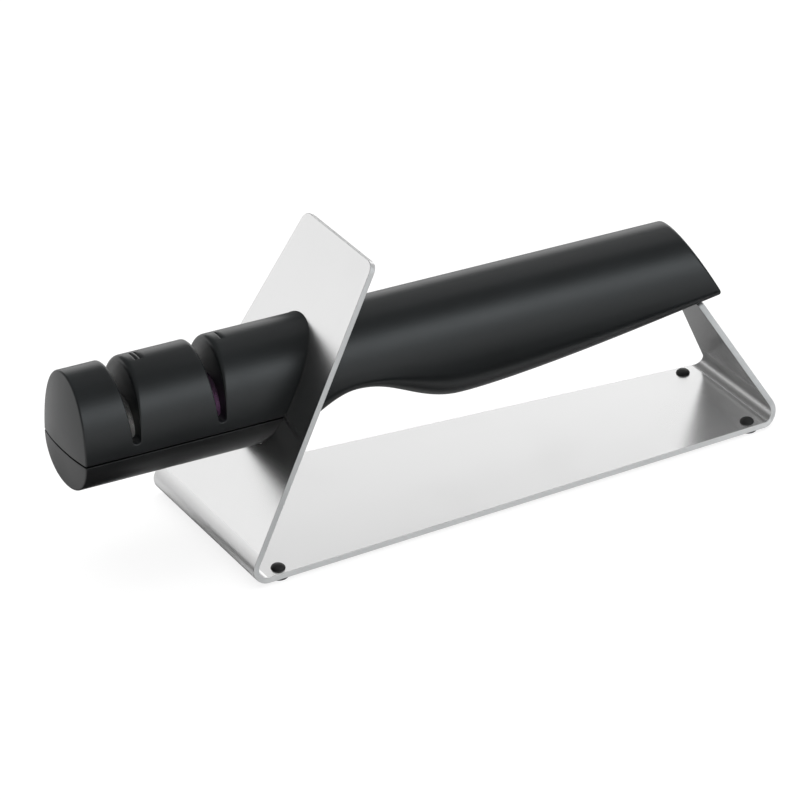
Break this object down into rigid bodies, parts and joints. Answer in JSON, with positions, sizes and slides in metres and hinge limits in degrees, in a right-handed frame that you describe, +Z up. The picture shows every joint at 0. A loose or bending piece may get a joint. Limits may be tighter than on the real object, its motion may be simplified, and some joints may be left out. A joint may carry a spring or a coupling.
{
  "type": "knife sharpener",
  "caption": "Two-stage hand-held knife sharpener with a matte black grip, lying through a hole in a folded brushed-steel stand.",
  "frame": {"origin": "middle of the bounding box on the table, below the stand's feet", "axes": "+X along the wand from its tip to its tail, +Y across it to the back, +Z up"},
  "size_m": [0.2536, 0.072, 0.097],
  "materials": {
    "steel": "brushed",
    "foot_rubber": "matte",
    "grip_plastic": "matte",
    "cover_plastic": "matte",
    "screw_steel": "zinc plated",
    "carrier_plastic": "moulded",
    "axle_steel": "ground",
    "hub_brass": "turned",
    "coarse_abrasive": "gritty",
    "fine_abrasive": "fine grained"
  },
  "bodies": {
    "stand": {"stand": "steel", "foot_front_left": "foot_rubber", "foot_front_right": "foot_rubber", "foot_back_left": "foot_rubber", "foot_back_right": "foot_rubber"},
    "wand": {"handle": "grip_plastic", "head_cover": "cover_plastic", "cover_screws": "screw_steel", "screw_plugs": "cover_plastic", "carrier_screws": "screw_steel", "coarse_carrier": "carrier_plastic", "coarse_axle": "axle_steel", "coarse_washers": "screw_steel", "fine_carrier": "carrier_plastic", "fine_axle": "axle_steel", "fine_washers": "screw_steel"},
    "coarse_wheels": {"coarse_hub": "hub_brass", "coarse_wheel_left": "coarse_abrasive", "coarse_wheel_right": "coarse_abrasive"},
    "fine_wheels": {"fine_hub": "hub_brass", "fine_wheel_left": "fine_abrasive", "fine_wheel_right": "fine_abrasive"}
  },
  "joints": [
    {"name": "wand_slide", "type": "slide", "parent": "stand", "child": "wand", "axis": [-1, 0, 0], "range_m": [0, 0.175]},
    {"name": "coarse_spin", "type": "hinge", "parent": "wand", "child": "coarse_wheels", "pos_m": [-0.07727, 0, 0.0505], "axis": [1, 0, 0], "continuous": true},
    {"name": "fine_spin", "type": "hinge", "parent": "wand", "child": "fine_wheels", "pos_m": [-0.10727, 0, 0.0505], "axis": [1, 0, 0], "continuous": true}
  ]
}
